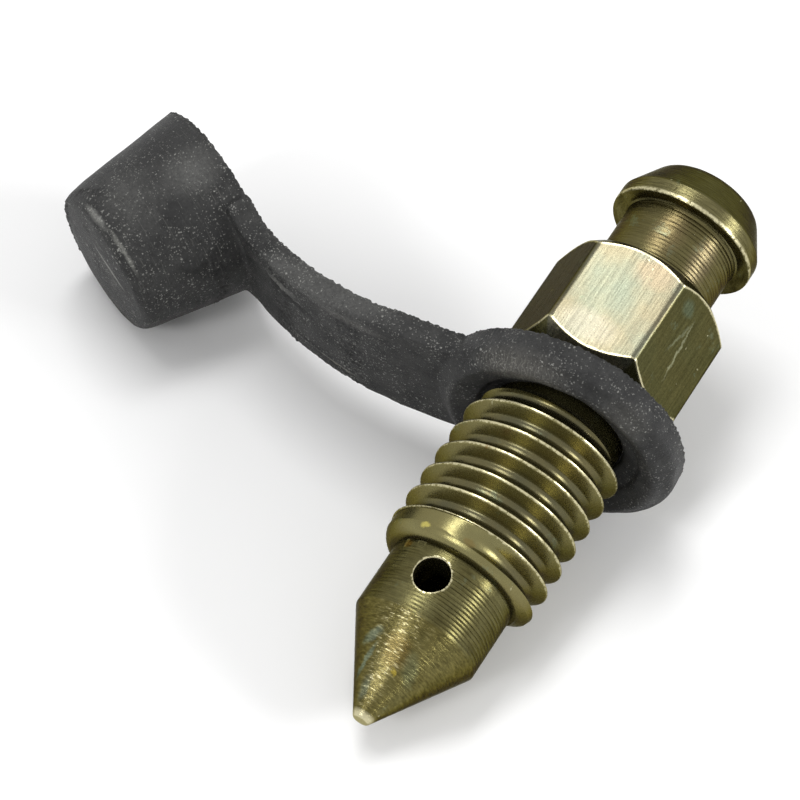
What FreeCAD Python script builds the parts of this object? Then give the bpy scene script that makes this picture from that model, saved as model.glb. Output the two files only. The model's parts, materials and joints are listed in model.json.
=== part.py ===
import FreeCAD, Part
import math
import os
import Sketcher

os.makedirs("parts", exist_ok=True)
doc = FreeCAD.newDocument("bleeder_screw")

# every independent size once, in millimetres and degrees
sizeText = {
    # screw, stations run from the tip towards the head
    "tip_radius": "0.42",
    "shank_radius": "3.07",
    "cone_length": "4.5",
    "shank_length": "3.25",
    "thread_pitch": "1.25",
    "thread_radius": "3.9",
    "thread_depth": "0.7",
    "thread_root_flat": "0.26",
    "thread_crest_flat": "0.18",
    "thread_lead_in": "0.6",
    "thread_length": "8.68",
    "thread_run_out": "0.4",
    "thread_start_gap": "0.5",
    "relief_radius": "3.15",
    "relief_length": "2.72",
    "across_flats": "7.8",
    "hex_height": "6",
    "hex_bevel_radius": "3.72",
    "hex_turn": "3.7",
    "hose_neck_radius": "2.93",
    "hose_neck_length": "3.2",
    "bead_radius": "3.7",
    "bead_land": "0.78",
    "bead_underside_drop": "0.12",
    "nose_length": "1.6",
    "nose_radius": "2.35",
    "nose_rounding": "0.5",
    "bore_radius": "1.3",
    "bore_past_cross_hole": "0.6",
    "bore_point": "0.75",
    "bore_chamfer": "0.25",
    "cross_hole_radius": "0.85",
    "cross_hole_from_edge": "1.3",
    # dust cap, its ring lies in the plane of the cup's mouth until the strap bends
    "ring_radius": "5.95",
    "ring_hole_radius": "4.2",
    "ring_grip_radius": "3.5",
    "ring_lip": "0.5",
    "ring_thickness": "1.5",
    "ring_bevel_size": "0.3",
    "strap_thickness": "1.25",
    "strap_width": "5.9",
    "strap_end_width": "5.2",
    "strap_start": "4.6",
    "strap_straight_end": "8.25",
    "strap_arc_length": "8.74",
    "strap_bend": "28.7",
    "strap_root_depth": "1.7",
    "cup_mouth_radius": "4.73",
    "cup_end_radius": "3.82",
    "cup_length": "6.8",
    "cup_end_dome": "0.22",
    "cup_wall": "1",
    "cup_end_wall": "1.1",
    "cup_end_bevel": "0.45",
    # how the cap sits on the screw
    "ring_seat_gap": "1.28",
    "ring_tilt": "5.94",
    "ring_tilt_heading": "-115.7",
    "strap_heading": "-91",
    # where the head points as the part lies on the ground
    "lie_heading": "63.682",
}
nearness = 0.001
settleSteps = 60

sheet = doc.addObject("Spreadsheet::Sheet", "sizes")
for row, (name, text) in enumerate(sizeText.items(), start=1):
    sheet.set("A%d" % row, name)
    sheet.set("B%d" % row, text)
    sheet.setAlias("B%d" % row, name)
doc.recompute()


def bound(expression):
    """Puts the sheet's name before each size in an expression."""
    words = []
    word = ""
    for letter in expression + " ":
        if letter.isalnum() or letter == "_":
            word += letter
            continue
        if word:
            words.append("sizes." + word if word in sizeText else word)
            word = ""
        words.append(letter)
    return "".join(words).strip()


def size(expression):
    value = sheet.evalExpression(bound(expression).replace("sizes.", ""))
    return float(getattr(value, "Value", value))


def bind(target, path, expression):
    target.setExpression(path, bound(expression))


def addBody(name):
    body = doc.addObject("PartDesign::Body", name)
    body.Label = name
    return body


def originPlane(body, role):
    return [item for item in body.Origin.OriginFeatures if item.Role == role][0]


def addSketch(body, name, role):
    sketch = body.newObject("Sketcher::SketchObject", name)
    sketch.AttachmentSupport = [(originPlane(body, role), "")]
    sketch.MapMode = "FlatFace"
    return sketch


def holdPoint(sketch, geometry, end, expressionX, expressionY):
    """Fixes one point of a sketch by distances from its origin."""
    for axis, kind, expression in ((-2, "DistanceX", expressionX), (-1, "DistanceY", expressionY)):
        if expression is None:
            continue
        if expression == "0":
            sketch.addConstraint(Sketcher.Constraint("PointOnObject", geometry, end, axis))
            continue
        held = sketch.addConstraint(
            Sketcher.Constraint(kind, -1, 1, geometry, end, size(expression))
        )
        bind(sketch, "Constraints[%d]" % held, expression)


def addOutline(sketch, corners):
    """Closes a loop of lines and arcs; a corner is x, y and, for an arc that ends there, its centre."""
    points = [FreeCAD.Vector(size(corner[0]), size(corner[1]), 0) for corner in corners]
    edges = []
    for number, corner in enumerate(corners):
        start = points[number - 1]
        stop = points[number]
        if len(corner) == 2:
            edges.append((sketch.addGeometry(Part.LineSegment(start, stop)), 1, 2))
            continue
        centre = FreeCAD.Vector(size(corner[2]), size(corner[3]), 0)
        first = start - centre
        last = stop - centre
        turnsLeft = first.cross(last).z > 0
        circle = Part.Circle(centre, FreeCAD.Vector(0, 0, 1), first.Length)
        if turnsLeft:
            arc = Part.ArcOfCircle(circle, circle.parameter(start), circle.parameter(stop))
            edges.append((sketch.addGeometry(arc), 1, 2))
        else:
            arc = Part.ArcOfCircle(circle, circle.parameter(stop), circle.parameter(start))
            edges.append((sketch.addGeometry(arc), 2, 1))
    for number, corner in enumerate(corners):
        geometry, first, last = edges[number]
        following = edges[(number + 1) % len(edges)]
        sketch.addConstraint(Sketcher.Constraint("Coincident", geometry, last, following[0], following[1]))
        if len(corner) == 2:
            holdPoint(sketch, geometry, last, corner[0], corner[1])
        else:
            holdPoint(sketch, geometry, last, corner[0], None)
            holdPoint(sketch, geometry, 3, corner[2], corner[3])


def addFeature(body, kind, name, profile, **settings):
    feature = body.newObject(kind, name)
    feature.Profile = profile
    for key, value in settings.items():
        setattr(feature, key, value)
    body.Tip = feature
    return feature


def isCircle(edge):
    try:
        return isinstance(edge.Curve, Part.Circle)
    except TypeError:
        return False


def dressEdges(body, kind, name, path, expression, wanted):
    """Rounds or bevels the circular edges of a body that the test picks."""
    doc.recompute()
    base = body.Tip
    names = []
    for number, edge in enumerate(base.Shape.Edges, start=1):
        if isCircle(edge) and wanted(edge.Curve):
            names.append("Edge%d" % number)
    feature = body.newObject(kind, name)
    feature.Base = (base, names)
    bind(feature, path, expression)
    body.Tip = feature
    return feature


# stations of the screw, measured from the tip flat
coneTop = "cone_length"
shankTop = coneTop + " + shank_length"
threadTop = shankTop + " + thread_length"
hexBottom = threadTop + " + relief_length"
hexTop = hexBottom + " + hex_height"
neckTop = hexTop + " + hose_neck_length"
beadTop = neckTop + " + bead_land"
noseTop = beadTop + " + nose_length"
crossStation = shankTop + " - cross_hole_from_edge"

# one turned screw
screw = addBody("bleeder_screw")

turned = addSketch(screw, "turned_profile", "XZ_Plane")
addOutline(turned, [
    ("0", "0"),
    ("tip_radius", "0"),
    ("shank_radius", coneTop),
    ("shank_radius", shankTop),
    ("thread_radius", shankTop + " + thread_lead_in"),
    ("thread_radius", threadTop + " - thread_run_out"),
    ("relief_radius", threadTop),
    ("relief_radius", hexBottom),
    ("hex_bevel_radius", hexBottom),
    ("hex_bevel_radius", hexTop),
    ("hose_neck_radius", hexTop),
    ("hose_neck_radius", neckTop + " + bead_underside_drop"),
    ("bead_radius", neckTop),
    ("bead_radius", beadTop),
    ("nose_radius", noseTop),
    ("0", noseTop),
])
turnedSolid = addFeature(screw, "PartDesign::Revolution", "turned_solid", turned)
turnedSolid.ReferenceAxis = (turned, ["V_Axis"])
turnedSolid.Angle = 360
doc.recompute()

# hexagon with its corners beveled at both ends
hexSketch = addSketch(screw, "hex_profile", "XY_Plane")
hexSketch.AttachmentOffset = FreeCAD.Placement(FreeCAD.Vector(0, 0, size(hexBottom)), FreeCAD.Rotation())
bind(hexSketch, "AttachmentOffset.Base.z", hexBottom)
hexCorners = []
for number in range(6):
    angle = "(hex_turn + %d * 60 + 30) * 1 deg" % number
    reachX = "across_flats / sqrt(3) * cos(%s)" % angle
    reachY = "across_flats / sqrt(3) * sin(%s)" % angle
    hexCorners.append((reachX, reachY))
addOutline(hexSketch, hexCorners)
hexSolid = addFeature(screw, "PartDesign::Pad", "hex_solid", hexSketch)
bind(hexSolid, "Length", "hex_height")
doc.recompute()

bevels = addSketch(screw, "hex_bevel_profile", "XZ_Plane")
outside = "across_flats"
reach = "(across_flats - hex_bevel_radius)"
addOutline(bevels, [
    ("hex_bevel_radius", hexBottom),
    (outside, hexBottom),
    (outside, hexBottom + " + " + reach),
])
addOutline(bevels, [
    ("hex_bevel_radius", hexTop),
    (outside, hexTop + " - " + reach),
    (outside, hexTop),
])
hexBevels = addFeature(screw, "PartDesign::Groove", "hex_bevels", bevels)
hexBevels.ReferenceAxis = (bevels, ["V_Axis"])
hexBevels.Angle = 360
doc.recompute()



def isNoseEdge(circle):
    sameRadius = abs(circle.Radius - size("nose_radius")) < nearness
    return sameRadius and abs(circle.Center.z - size(noseTop)) < nearness


dressEdges(screw, "PartDesign::Fillet", "nose_round", "Radius", "nose_rounding", isNoseEdge)

# axial bore from the nose to just past the cross hole
bore = addSketch(screw, "bore_profile", "XZ_Plane")
boreBottom = crossStation + " - cross_hole_radius - bore_past_cross_hole"
addOutline(bore, [
    ("0", boreBottom + " - bore_point"),
    ("bore_radius", boreBottom),
    ("bore_radius", noseTop + " - bore_chamfer"),
    ("bore_radius + bore_chamfer", noseTop),
    ("bore_radius + bore_chamfer", noseTop + " + bore_chamfer"),
    ("0", noseTop + " + bore_chamfer"),
])
boreCut = addFeature(screw, "PartDesign::Groove", "bore_cut", bore)
boreCut.ReferenceAxis = (bore, ["V_Axis"])
boreCut.Angle = 360
doc.recompute()

crossSketch = addSketch(screw, "cross_hole_profile", "YZ_Plane")
crossCentre = FreeCAD.Vector(0, size(crossStation), 0)
crossCircle = Part.Circle(crossCentre, FreeCAD.Vector(0, 0, 1), size("cross_hole_radius"))
circle = crossSketch.addGeometry(crossCircle)
holdPoint(crossSketch, circle, 3, "0", crossStation)
radiusHeld = crossSketch.addConstraint(Sketcher.Constraint("Radius", circle, size("cross_hole_radius")))
bind(crossSketch, "Constraints[%d]" % radiusHeld, "cross_hole_radius")
crossCut = addFeature(screw, "PartDesign::Pocket", "cross_hole_cut", crossSketch)
crossCut.Reversed = True
bind(crossCut, "Length", "thread_radius")
doc.recompute()

# right-handed groove between the shank and the relief
grooveSketch = addSketch(screw, "thread_groove_profile", "XZ_Plane")
grooveStart = shankTop + " - thread_start_gap"
rootRadius = "(thread_radius - thread_depth)"
grooveOutside = "(thread_radius + thread_root_flat)"
crestHalf = "((thread_pitch - thread_crest_flat) / 2)"
flankRise = "(%s - thread_root_flat / 2) / thread_depth" % crestHalf
outsideHalf = "(%s + thread_root_flat * %s)" % (crestHalf, flankRise)
addOutline(grooveSketch, [
    (rootRadius, grooveStart + " - thread_root_flat / 2"),
    (grooveOutside, grooveStart + " - " + outsideHalf),
    (grooveOutside, grooveStart + " + " + outsideHalf),
    (rootRadius, grooveStart + " + thread_root_flat / 2"),
])
threadCut = addFeature(screw, "PartDesign::SubtractiveHelix", "thread_cut", grooveSketch)
threadCut.ReferenceAxis = (grooveSketch, ["V_Axis"])
threadCut.Mode = "pitch-height-angle"
bind(threadCut, "Pitch", "thread_pitch")
bind(threadCut, "Height", "thread_length + thread_start_gap * 2")
doc.recompute()

# one moulded cap
cap = addBody("dust_cap")

ringSketch = addSketch(cap, "ring_profile", "XY_Plane")
for radius in ("ring_radius", "ring_grip_radius"):
    ringCircle = Part.Circle(FreeCAD.Vector(), FreeCAD.Vector(0, 0, 1), size(radius))
    circle = ringSketch.addGeometry(ringCircle)
    ringSketch.addConstraint(Sketcher.Constraint("Coincident", circle, 3, -1, 1))
    radiusHeld = ringSketch.addConstraint(Sketcher.Constraint("Radius", circle, size(radius)))
    bind(ringSketch, "Constraints[%d]" % radiusHeld, radius)
ringSolid = addFeature(cap, "PartDesign::Pad", "ring_solid", ringSketch)
ringSolid.Reversed = True
bind(ringSolid, "Length", "ring_thickness")


def isRingFront(circle):
    return abs(circle.Radius - size("ring_radius")) < nearness and circle.Center.z < -nearness


dressEdges(cap, "PartDesign::Chamfer", "ring_bevel", "Size", "ring_bevel_size", isRingFront)

# the ring's hole widens from a lip on the hexagon's side to clear the thread
funnelSketch = addSketch(cap, "ring_funnel_profile", "XZ_Plane")
funnelSlope = "(ring_hole_radius - ring_grip_radius) / (ring_thickness - ring_lip)"
funnelReach = "(ring_hole_radius + %s * ring_bevel_size)" % funnelSlope
addOutline(funnelSketch, [
    ("0", "-ring_lip"),
    ("ring_grip_radius", "-ring_lip"),
    (funnelReach, "-ring_thickness - ring_bevel_size"),
    ("0", "-ring_thickness - ring_bevel_size"),
])
funnelCut = addFeature(cap, "PartDesign::Groove", "ring_funnel", funnelSketch)
funnelCut.ReferenceAxis = (funnelSketch, ["V_Axis"])
funnelCut.Angle = 360
doc.recompute()

# strap, flat at the ring and bent towards the head after that
bendRadius = "(strap_arc_length / (strap_bend * pi / 180))"
bendSine = "sin(strap_bend * 1 deg)"
bendCosine = "cos(strap_bend * 1 deg)"
strapSketch = addSketch(cap, "strap_side_profile", "XZ_Plane")
upperX = "strap_straight_end + %s * %s" % (bendRadius, bendSine)
upperZ = "%s * (1 - %s)" % (bendRadius, bendCosine)
lowerX = "%s + strap_thickness * %s" % (upperX, bendSine)
lowerZ = "%s - strap_thickness * %s" % (upperZ, bendCosine)
rootX = " + strap_root_depth * " + bendCosine
rootZ = " + strap_root_depth * " + bendSine
addOutline(strapSketch, [
    ("strap_start", "-strap_thickness"),
    ("strap_straight_end", "-strap_thickness"),
    (lowerX, lowerZ, "strap_straight_end", bendRadius),
    (lowerX + rootX, lowerZ + rootZ),
    (upperX + rootX, upperZ + rootZ),
    (upperX, upperZ),
    ("strap_straight_end", "0", "strap_straight_end", bendRadius),
    ("strap_start", "0"),
])
strapSolid = addFeature(cap, "PartDesign::Pad", "strap_solid", strapSketch)
strapSolid.Midplane = True
bind(strapSolid, "Length", "strap_width")
doc.recompute()

# the strap narrows from the ring to the cup
trimSketch = addSketch(cap, "strap_trim_profile", "XY_Plane")
for side in ("", "-"):
    addOutline(trimSketch, [
        ("strap_straight_end", side + "strap_width / 2"),
        (lowerX + rootX, side + "strap_end_width / 2"),
        (lowerX + rootX, side + "strap_width"),
        ("strap_straight_end", side + "strap_width"),
    ])
strapTrim = addFeature(cap, "PartDesign::Pocket", "strap_trim", trimSketch)
strapTrim.Midplane = True
bind(strapTrim, "Length", "strap_arc_length * 2")
doc.recompute()

# cup, turned about its own axis at the strap's end
mouthX = "%s + cup_mouth_radius * %s" % (upperX, bendCosine)
mouthZ = "%s + cup_mouth_radius * %s" % (upperZ, bendSine)


def addCupSketch(name):
    sketch = addSketch(cap, name, "XZ_Plane")
    turn = FreeCAD.Rotation(FreeCAD.Vector(0, 0, 1), size("strap_bend"))
    sketch.AttachmentOffset = FreeCAD.Placement(FreeCAD.Vector(size(mouthX), size(mouthZ), 0), turn)
    bind(sketch, "AttachmentOffset.Base.x", mouthX)
    bind(sketch, "AttachmentOffset.Base.y", mouthZ)
    bind(sketch, "AttachmentOffset.Rotation.Angle", "strap_bend * 1 deg")
    return sketch


cupSketch = addCupSketch("cup_profile")
addOutline(cupSketch, [
    ("0", "0"),
    ("0", "-cup_length - cup_end_dome"),
    ("cup_end_radius - cup_end_bevel", "-cup_length"),
    ("cup_end_radius", "-cup_length + cup_end_bevel"),
    ("cup_mouth_radius", "0"),
])
cupSolid = addFeature(cap, "PartDesign::Revolution", "cup_solid", cupSketch)
cupSolid.ReferenceAxis = (cupSketch, ["V_Axis"])
cupSolid.Angle = 360
doc.recompute()

cavitySketch = addCupSketch("cavity_profile")
addOutline(cavitySketch, [
    ("0", "cup_wall"),
    ("0", "-cup_length + cup_end_wall"),
    ("cup_end_radius - cup_wall", "-cup_length + cup_end_wall"),
    ("cup_mouth_radius - cup_wall", "0"),
    ("cup_mouth_radius - cup_wall", "cup_wall"),
])
cavityCut = addFeature(cap, "PartDesign::Groove", "cavity_cut", cavitySketch)
cavityCut.ReferenceAxis = (cavitySketch, ["V_Axis"])
cavityCut.Angle = 360
doc.recompute()

# the cap's ring sits tilted on the relief, its strap to one side
axisY = FreeCAD.Vector(0, 1, 0)
axisZ = FreeCAD.Vector(0, 0, 1)
tilt = FreeCAD.Rotation(axisZ, size("ring_tilt_heading"))
tilt = tilt.multiply(FreeCAD.Rotation(axisY, size("ring_tilt")))
tilt = tilt.multiply(FreeCAD.Rotation(axisZ, size("strap_heading - ring_tilt_heading")))
seat = FreeCAD.Placement(FreeCAD.Vector(0, 0, size(hexBottom + " - ring_seat_gap")), tilt)
cupTurn = FreeCAD.Rotation(axisY, -size("strap_bend"))
cupSeat = seat.multiply(FreeCAD.Placement(FreeCAD.Vector(size(mouthX), 0, size(mouthZ)), cupTurn))

# the round edges that can touch the ground: of the shank, of the ring, of the cup's closed end
supports = (
    (
        (FreeCAD.Placement(), coneTop, "shank_radius"),
    ),
    (
        (seat, "-ring_thickness", "ring_radius - ring_bevel_size"),
        (seat, "-ring_thickness + ring_bevel_size", "ring_radius"),
    ),
    (
        (cupSeat, "-cup_length", "cup_end_radius - cup_end_bevel"),
        (cupSeat, "-cup_length + cup_end_bevel", "cup_end_radius"),
    ),
)


def foot(rims, down):
    """The point of some round edges that lies furthest down."""
    points = []
    for place, station, radius in rims:
        normal = place.Rotation.multVec(axisZ)
        outward = down - normal * down.dot(normal)
        outward.normalize()
        points.append(place.multVec(axisZ * size(station)) + outward * size(radius))
    return max(points, key=down.dot)


# the ground is the plane through the three lowest points, found step by step
down = FreeCAD.Vector(-1, 0, 0)
for step in range(settleSteps):
    shankFoot, ringFoot, cupFoot = [foot(rims, down) for rims in supports]
    across = (ringFoot - shankFoot).cross(cupFoot - shankFoot)
    across.normalize()
    down = across if across.dot(down) > 0 else -across
settle = FreeCAD.Rotation(down, -axisZ)
head = settle.multVec(axisZ)
heading = math.degrees(math.atan2(head.y, head.x))
lie = FreeCAD.Rotation(axisZ, size("lie_heading") - heading).multiply(settle)
screw.Placement = FreeCAD.Placement(FreeCAD.Vector(), lie)
cap.Placement = screw.Placement.multiply(seat)
doc.recompute()

# the origin is the middle of the footprint, on the ground
box = screw.Shape.optimalBoundingBox(False, False)
box.add(cap.Shape.optimalBoundingBox(False, False))
shift = FreeCAD.Vector(-box.Center.x, -box.Center.y, -box.ZMin)
screw.Placement.Base = screw.Placement.Base + shift
cap.Placement.Base = cap.Placement.Base + shift
doc.recompute()

for item in doc.Objects:
    if "Invalid" in item.State or "Error" in item.State:
        raise RuntimeError("%s is not valid" % item.Label)
for body in (screw, cap):
    if body.Shape.isNull() or not body.Shape.isValid() or len(body.Shape.Solids) != 1:
        raise RuntimeError("%s is not one valid solid" % body.Label)
    body.Shape.exportStep("parts/%s.step" % body.Label)
    print(body.Label, round(body.Shape.Volume, 1))
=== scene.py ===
import json
import math
import random
import time
import bpy
from mathutils import Matrix, Vector


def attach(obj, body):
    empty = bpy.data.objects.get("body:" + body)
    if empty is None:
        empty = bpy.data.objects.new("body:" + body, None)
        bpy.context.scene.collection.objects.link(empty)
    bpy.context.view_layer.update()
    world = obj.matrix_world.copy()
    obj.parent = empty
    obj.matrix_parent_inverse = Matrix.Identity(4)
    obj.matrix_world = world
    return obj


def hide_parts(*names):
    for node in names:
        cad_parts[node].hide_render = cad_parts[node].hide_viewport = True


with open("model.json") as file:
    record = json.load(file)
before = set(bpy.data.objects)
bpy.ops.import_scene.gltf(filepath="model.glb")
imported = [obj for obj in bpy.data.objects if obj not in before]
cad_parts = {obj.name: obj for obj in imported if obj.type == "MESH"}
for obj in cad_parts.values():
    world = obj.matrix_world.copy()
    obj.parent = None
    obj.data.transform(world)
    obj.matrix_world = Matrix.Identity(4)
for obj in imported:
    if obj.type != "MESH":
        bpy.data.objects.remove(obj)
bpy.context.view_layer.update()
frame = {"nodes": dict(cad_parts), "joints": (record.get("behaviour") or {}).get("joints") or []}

started = time.time()
millimetre = 0.001


def report(stage):
    print("%5.1f s  %s" % (time.time() - started, stage))


report("frame loaded with " + ", ".join(sorted(frame["nodes"])))


# helpers for modelling

def deselectAll():
    if bpy.context.object and bpy.context.object.mode != "OBJECT":
        bpy.ops.object.mode_set(mode="OBJECT")
    bpy.ops.object.select_all(action="DESELECT")


def pick(obj):
    deselectAll()
    obj.select_set(True)
    bpy.context.view_layer.objects.active = obj


def applyModifier(obj, kind, **settings):
    pick(obj)
    modifier = obj.modifiers.new(kind.title(), kind)
    for key, value in settings.items():
        setattr(modifier, key, value)
    bpy.ops.object.modifier_apply(modifier=modifier.name)


# joins, cuts or meets a solid with another one, which is used up
def combine(obj, other, operation):
    applyModifier(obj, "BOOLEAN", operation=operation, object=other, solver="EXACT")
    bpy.data.objects.remove(other, do_unlink=True)


# half a section as on a drawing, one vertex extruded after the other
def drawProfile(name, points):
    deselectAll()
    bpy.ops.mesh.primitive_plane_add(size=1, location=(0, 0, 0))
    obj = bpy.context.object
    obj.name = name
    bpy.ops.object.mode_set(mode="EDIT")
    bpy.ops.mesh.select_mode(type="VERT")
    bpy.ops.mesh.select_all(action="SELECT")
    bpy.ops.mesh.merge(type="CENTER")
    bpy.ops.transform.translate(value=(points[0][0], 0, points[0][1]))
    for before, after in zip(points, points[1:]):
        step = (after[0] - before[0], 0, after[1] - before[1])
        bpy.ops.mesh.extrude_region_move(TRANSFORM_OT_translate={"value": step})
    bpy.ops.mesh.select_all(action="SELECT")
    return obj


def closeSkin():
    bpy.ops.mesh.select_all(action="SELECT")
    bpy.ops.mesh.remove_doubles(threshold=0.0005)
    bpy.ops.mesh.normals_make_consistent(inside=False)
    bpy.ops.object.mode_set(mode="OBJECT")


def turnProfile(name, points, steps):
    obj = drawProfile(name, points)
    bpy.ops.mesh.spin(steps=steps, angle=math.tau, center=(0, 0, 0), axis=(0, 0, 1))
    closeSkin()
    return obj


# a piece modelled in its own millimetres goes to its place and is dressed
def settle(obj, place, body, node, material):
    pick(obj)
    obj.matrix_world = place @ Matrix.Scale(millimetre, 4)
    bpy.ops.object.transform_apply(location=True, rotation=True, scale=True)
    obj.data.materials.clear()
    obj.data.materials.append(material)
    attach(obj, body)
    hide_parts(node)


def turned(degrees, letter):
    return Matrix.Rotation(math.radians(degrees), 4, letter)


def fade(value, start, end):
    share = min(max((value - start) / (end - start), 0), 1)
    return share * share * (3 - 2 * share)


# where the two pieces are: the hinge of the cap is the screw's own axis

placing = {"hingeStation": 17.12, "seatStation": 17.87, "roll": -3.1,
           "tiltHeading": -115.7, "tilt": 5.94, "strapHeading": -91}

joint = frame["joints"][0]
hinge = Vector(joint["pos_m"])
axis = Vector(joint["axis"]).normalized()
upward = (Vector((0, 0, 1)) - axis * axis.z).normalized()
basis = Matrix((upward, axis.cross(upward), axis)).transposed().to_4x4()
tip = hinge - axis * placing["hingeStation"] * millimetre
screwPlace = Matrix.Translation(tip) @ basis @ turned(placing["roll"], "Z")
seat = Matrix.Translation((0, 0, placing["seatStation"] * millimetre))
tilting = turned(placing["tiltHeading"], "Z") @ turned(placing["tilt"], "Y")
capPlace = screwPlace @ seat @ tilting @ turned(placing["strapHeading"] - placing["tiltHeading"], "Z")


# the screw: radii and stations from the tip, in millimetres. The crest's edge and the lead-in are points
# below the crest and along the screw. Tool marks have a feed, a depth and the share by which it wanders

screw = {"tipRadius": 0.42, "coneTop": 4.5, "shankRadius": 3.07, "shankTop": 7.75, "crestRadius": 3.9,
         "crestEdge": ((0, 0), (0, 0.03), (0.025, 0.065), (0.085, 0.1)), "rootRadius": 3.2,
         "rootRound": 0.33, "rootSteps": 8, "flankSlant": 63.4, "pitch": 1.25, "turns": 11,
         "threadStart": 7.25, "threadTop": 16.43, "runOut": 0.4,
         "leadIn": ((0.5, 0.04), (0.34, 0.12), (0.22, 0.25), (0.13, 0.4), (0.06, 0.57), (-0.02, 0.75)),
         "grooveStart": -0.03, "grooveFade": 0.2, "bandRadius": 3.83, "reliefRadius": 3.15,
         "hexBottom": 19.15, "hexTop": 25.15, "acrossFlats": 7.8, "hexTurn": 3.7, "hexBevelRadius": 3.72,
         "cornerRound": 0.24, "neckRadius": 2.93, "neckTop": 28.35, "underside": 0.12,
         "beadRadius": 3.7, "beadTop": 29.25, "noseTop": 31.12, "noseRadius": 2.62, "noseRound": 0.85,
         "noseSteps": 6, "boreRadius": 1.3, "boreChamfer": 0.25, "boreRings": (18, 11), "boreBottom": 5.0,
         "borePoint": 4.25, "crossStation": 6.45, "crossRadius": 0.85, "crossStart": 0.9, "crossFlare": 0.09,
         "toolMarks": {"cone": (0.17, 0.012, 0.95), "shank": (0.185, 0.045, 0.4),
                       "neck": (0.21, 0.042, 0.8), "bead": (0.15, 0.008, 0.9), "nose": (0.16, 0.008, 0.8)},
         "around": 144}

# a tool mark's section: share of the feed, share of the depth
markSection = ((0.0, 0.04), (0.34, 0.0), (0.58, 0.22), (0.72, 1.0), (0.86, 0.4))

# the side of the screw with deep marks, in degrees, and the share of the depth that the other side loses
deepSide = {"start": -15, "full": 25, "fading": 110, "end": 150, "loss": 0.85}

chance = random.Random(8125)


# turning marks between two points of a section: flat lands with a narrow groove between them
def ridges(start, end, piece):
    feed, depth, wander = screw["toolMarks"][piece]
    length = math.hypot(end[0] - start[0], end[1] - start[1])
    count = max(int(length / feed), 1)
    made = []
    for number in range(count):
        deep = depth * (1 - wander * chance.random())
        for share, drop in markSection:
            t = (number + share) / count
            made.append((start[0] + (end[0] - start[0]) * t - deep * drop,
                         start[1] + (end[1] - start[1]) * t))
    return made[1:]


# the section runs from the tip to the bore, its corners broken by a few hundredths
def makeCore():
    s = screw
    smooth = s["shankTop"] - 0.55
    section = [(0, 0), (s["tipRadius"] - 0.06, 0), (s["tipRadius"], 0.05)]
    section += ridges(section[-1], (s["shankRadius"] - 0.02, s["coneTop"] - 0.03), "cone")
    section += [(s["shankRadius"] - 0.02, s["coneTop"] - 0.03), (s["shankRadius"], s["coneTop"] + 0.02)]
    section += ridges(section[-1], (s["shankRadius"], smooth), "shank")
    section += [(s["shankRadius"], smooth + 0.02), (s["shankRadius"], s["shankTop"] + 0.1),
                (s["reliefRadius"] - 0.05, s["shankTop"] + 0.5),
                (s["reliefRadius"] - 0.05, s["threadTop"] - 0.6),
                (s["reliefRadius"], s["threadTop"] - 0.3), (s["reliefRadius"], s["hexBottom"] + 0.3),
                (s["neckRadius"], s["hexBottom"] + 0.6), (s["neckRadius"] + 0.12, s["hexTop"] - 0.02),
                (s["neckRadius"] + 0.03, s["hexTop"] + 0.08)]
    section += ridges((s["neckRadius"], s["hexTop"] + 0.15), (s["neckRadius"], s["neckTop"] - 0.05), "neck")
    top = s["neckTop"] + s["underside"]
    section += [(s["neckRadius"] + 0.02, top - 0.06), (s["neckRadius"] + 0.1, top - 0.01),
                (s["beadRadius"] - 0.14, s["neckTop"] + 0.02), (s["beadRadius"] - 0.05, s["neckTop"] + 0.03),
                (s["beadRadius"] - 0.01, s["neckTop"] + 0.08), (s["beadRadius"], s["neckTop"] + 0.14)]
    section += ridges(section[-1], (s["beadRadius"], s["beadTop"] - 0.08), "bead")
    section += [(s["beadRadius"] - 0.015, s["beadTop"] - 0.03), (s["beadRadius"] - 0.06, s["beadTop"] + 0.05)]
    slope = (s["noseRadius"] - s["beadRadius"]) / (s["noseTop"] - s["beadTop"])
    roundFrom = s["noseTop"] - s["noseRound"] * 0.62
    section += ridges(section[-1], (s["beadRadius"] + slope * (roundFrom - s["beadTop"]), roundFrom), "nose")
    lean = math.atan(-slope)
    reach = s["noseRadius"] - s["noseRound"] * math.tan((math.pi / 2 - lean) / 2)
    for number in range(s["noseSteps"] + 1):
        angle = lean + (math.pi / 2 - lean) * number / s["noseSteps"]
        section.append((reach + s["noseRound"] * math.cos(angle),
                        s["noseTop"] - s["noseRound"] + s["noseRound"] * math.sin(angle)))
    section += [(s["boreRadius"] + s["boreChamfer"], s["noseTop"]),
                (s["boreRadius"], s["noseTop"] - s["boreChamfer"])]
    section += [(s["boreRadius"], station) for station in s["boreRings"]]
    section += [(s["boreRadius"], s["boreBottom"]), (0, s["borePoint"])]
    core = turnProfile("screwCore", section, s["around"])
    for vertex in core.data.vertices:
        softenMarks(vertex.co)
    return core


# the turning marks are deep on one side only, where the bar ran out of true
def softenMarks(co):
    s = screw
    radius = math.hypot(co.x, co.y)
    angle = math.degrees(math.atan2(co.y, co.x))
    for low, high, full in ((s["coneTop"] + 0.1, s["shankTop"] - 0.5, s["shankRadius"]),
                            (s["hexTop"] + 0.14, s["neckTop"] - 0.04, s["neckRadius"])):
        if low < co.z < high and full - 0.1 < radius < full:
            left = 1 - (fade(angle, deepSide["start"], deepSide["full"])
                        * (1 - fade(angle, deepSide["fading"], deepSide["end"])))
            wanted = full - (full - radius) * (1 - deepSide["loss"] * left)
            co.x *= wanted / radius
            co.y *= wanted / radius


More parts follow.
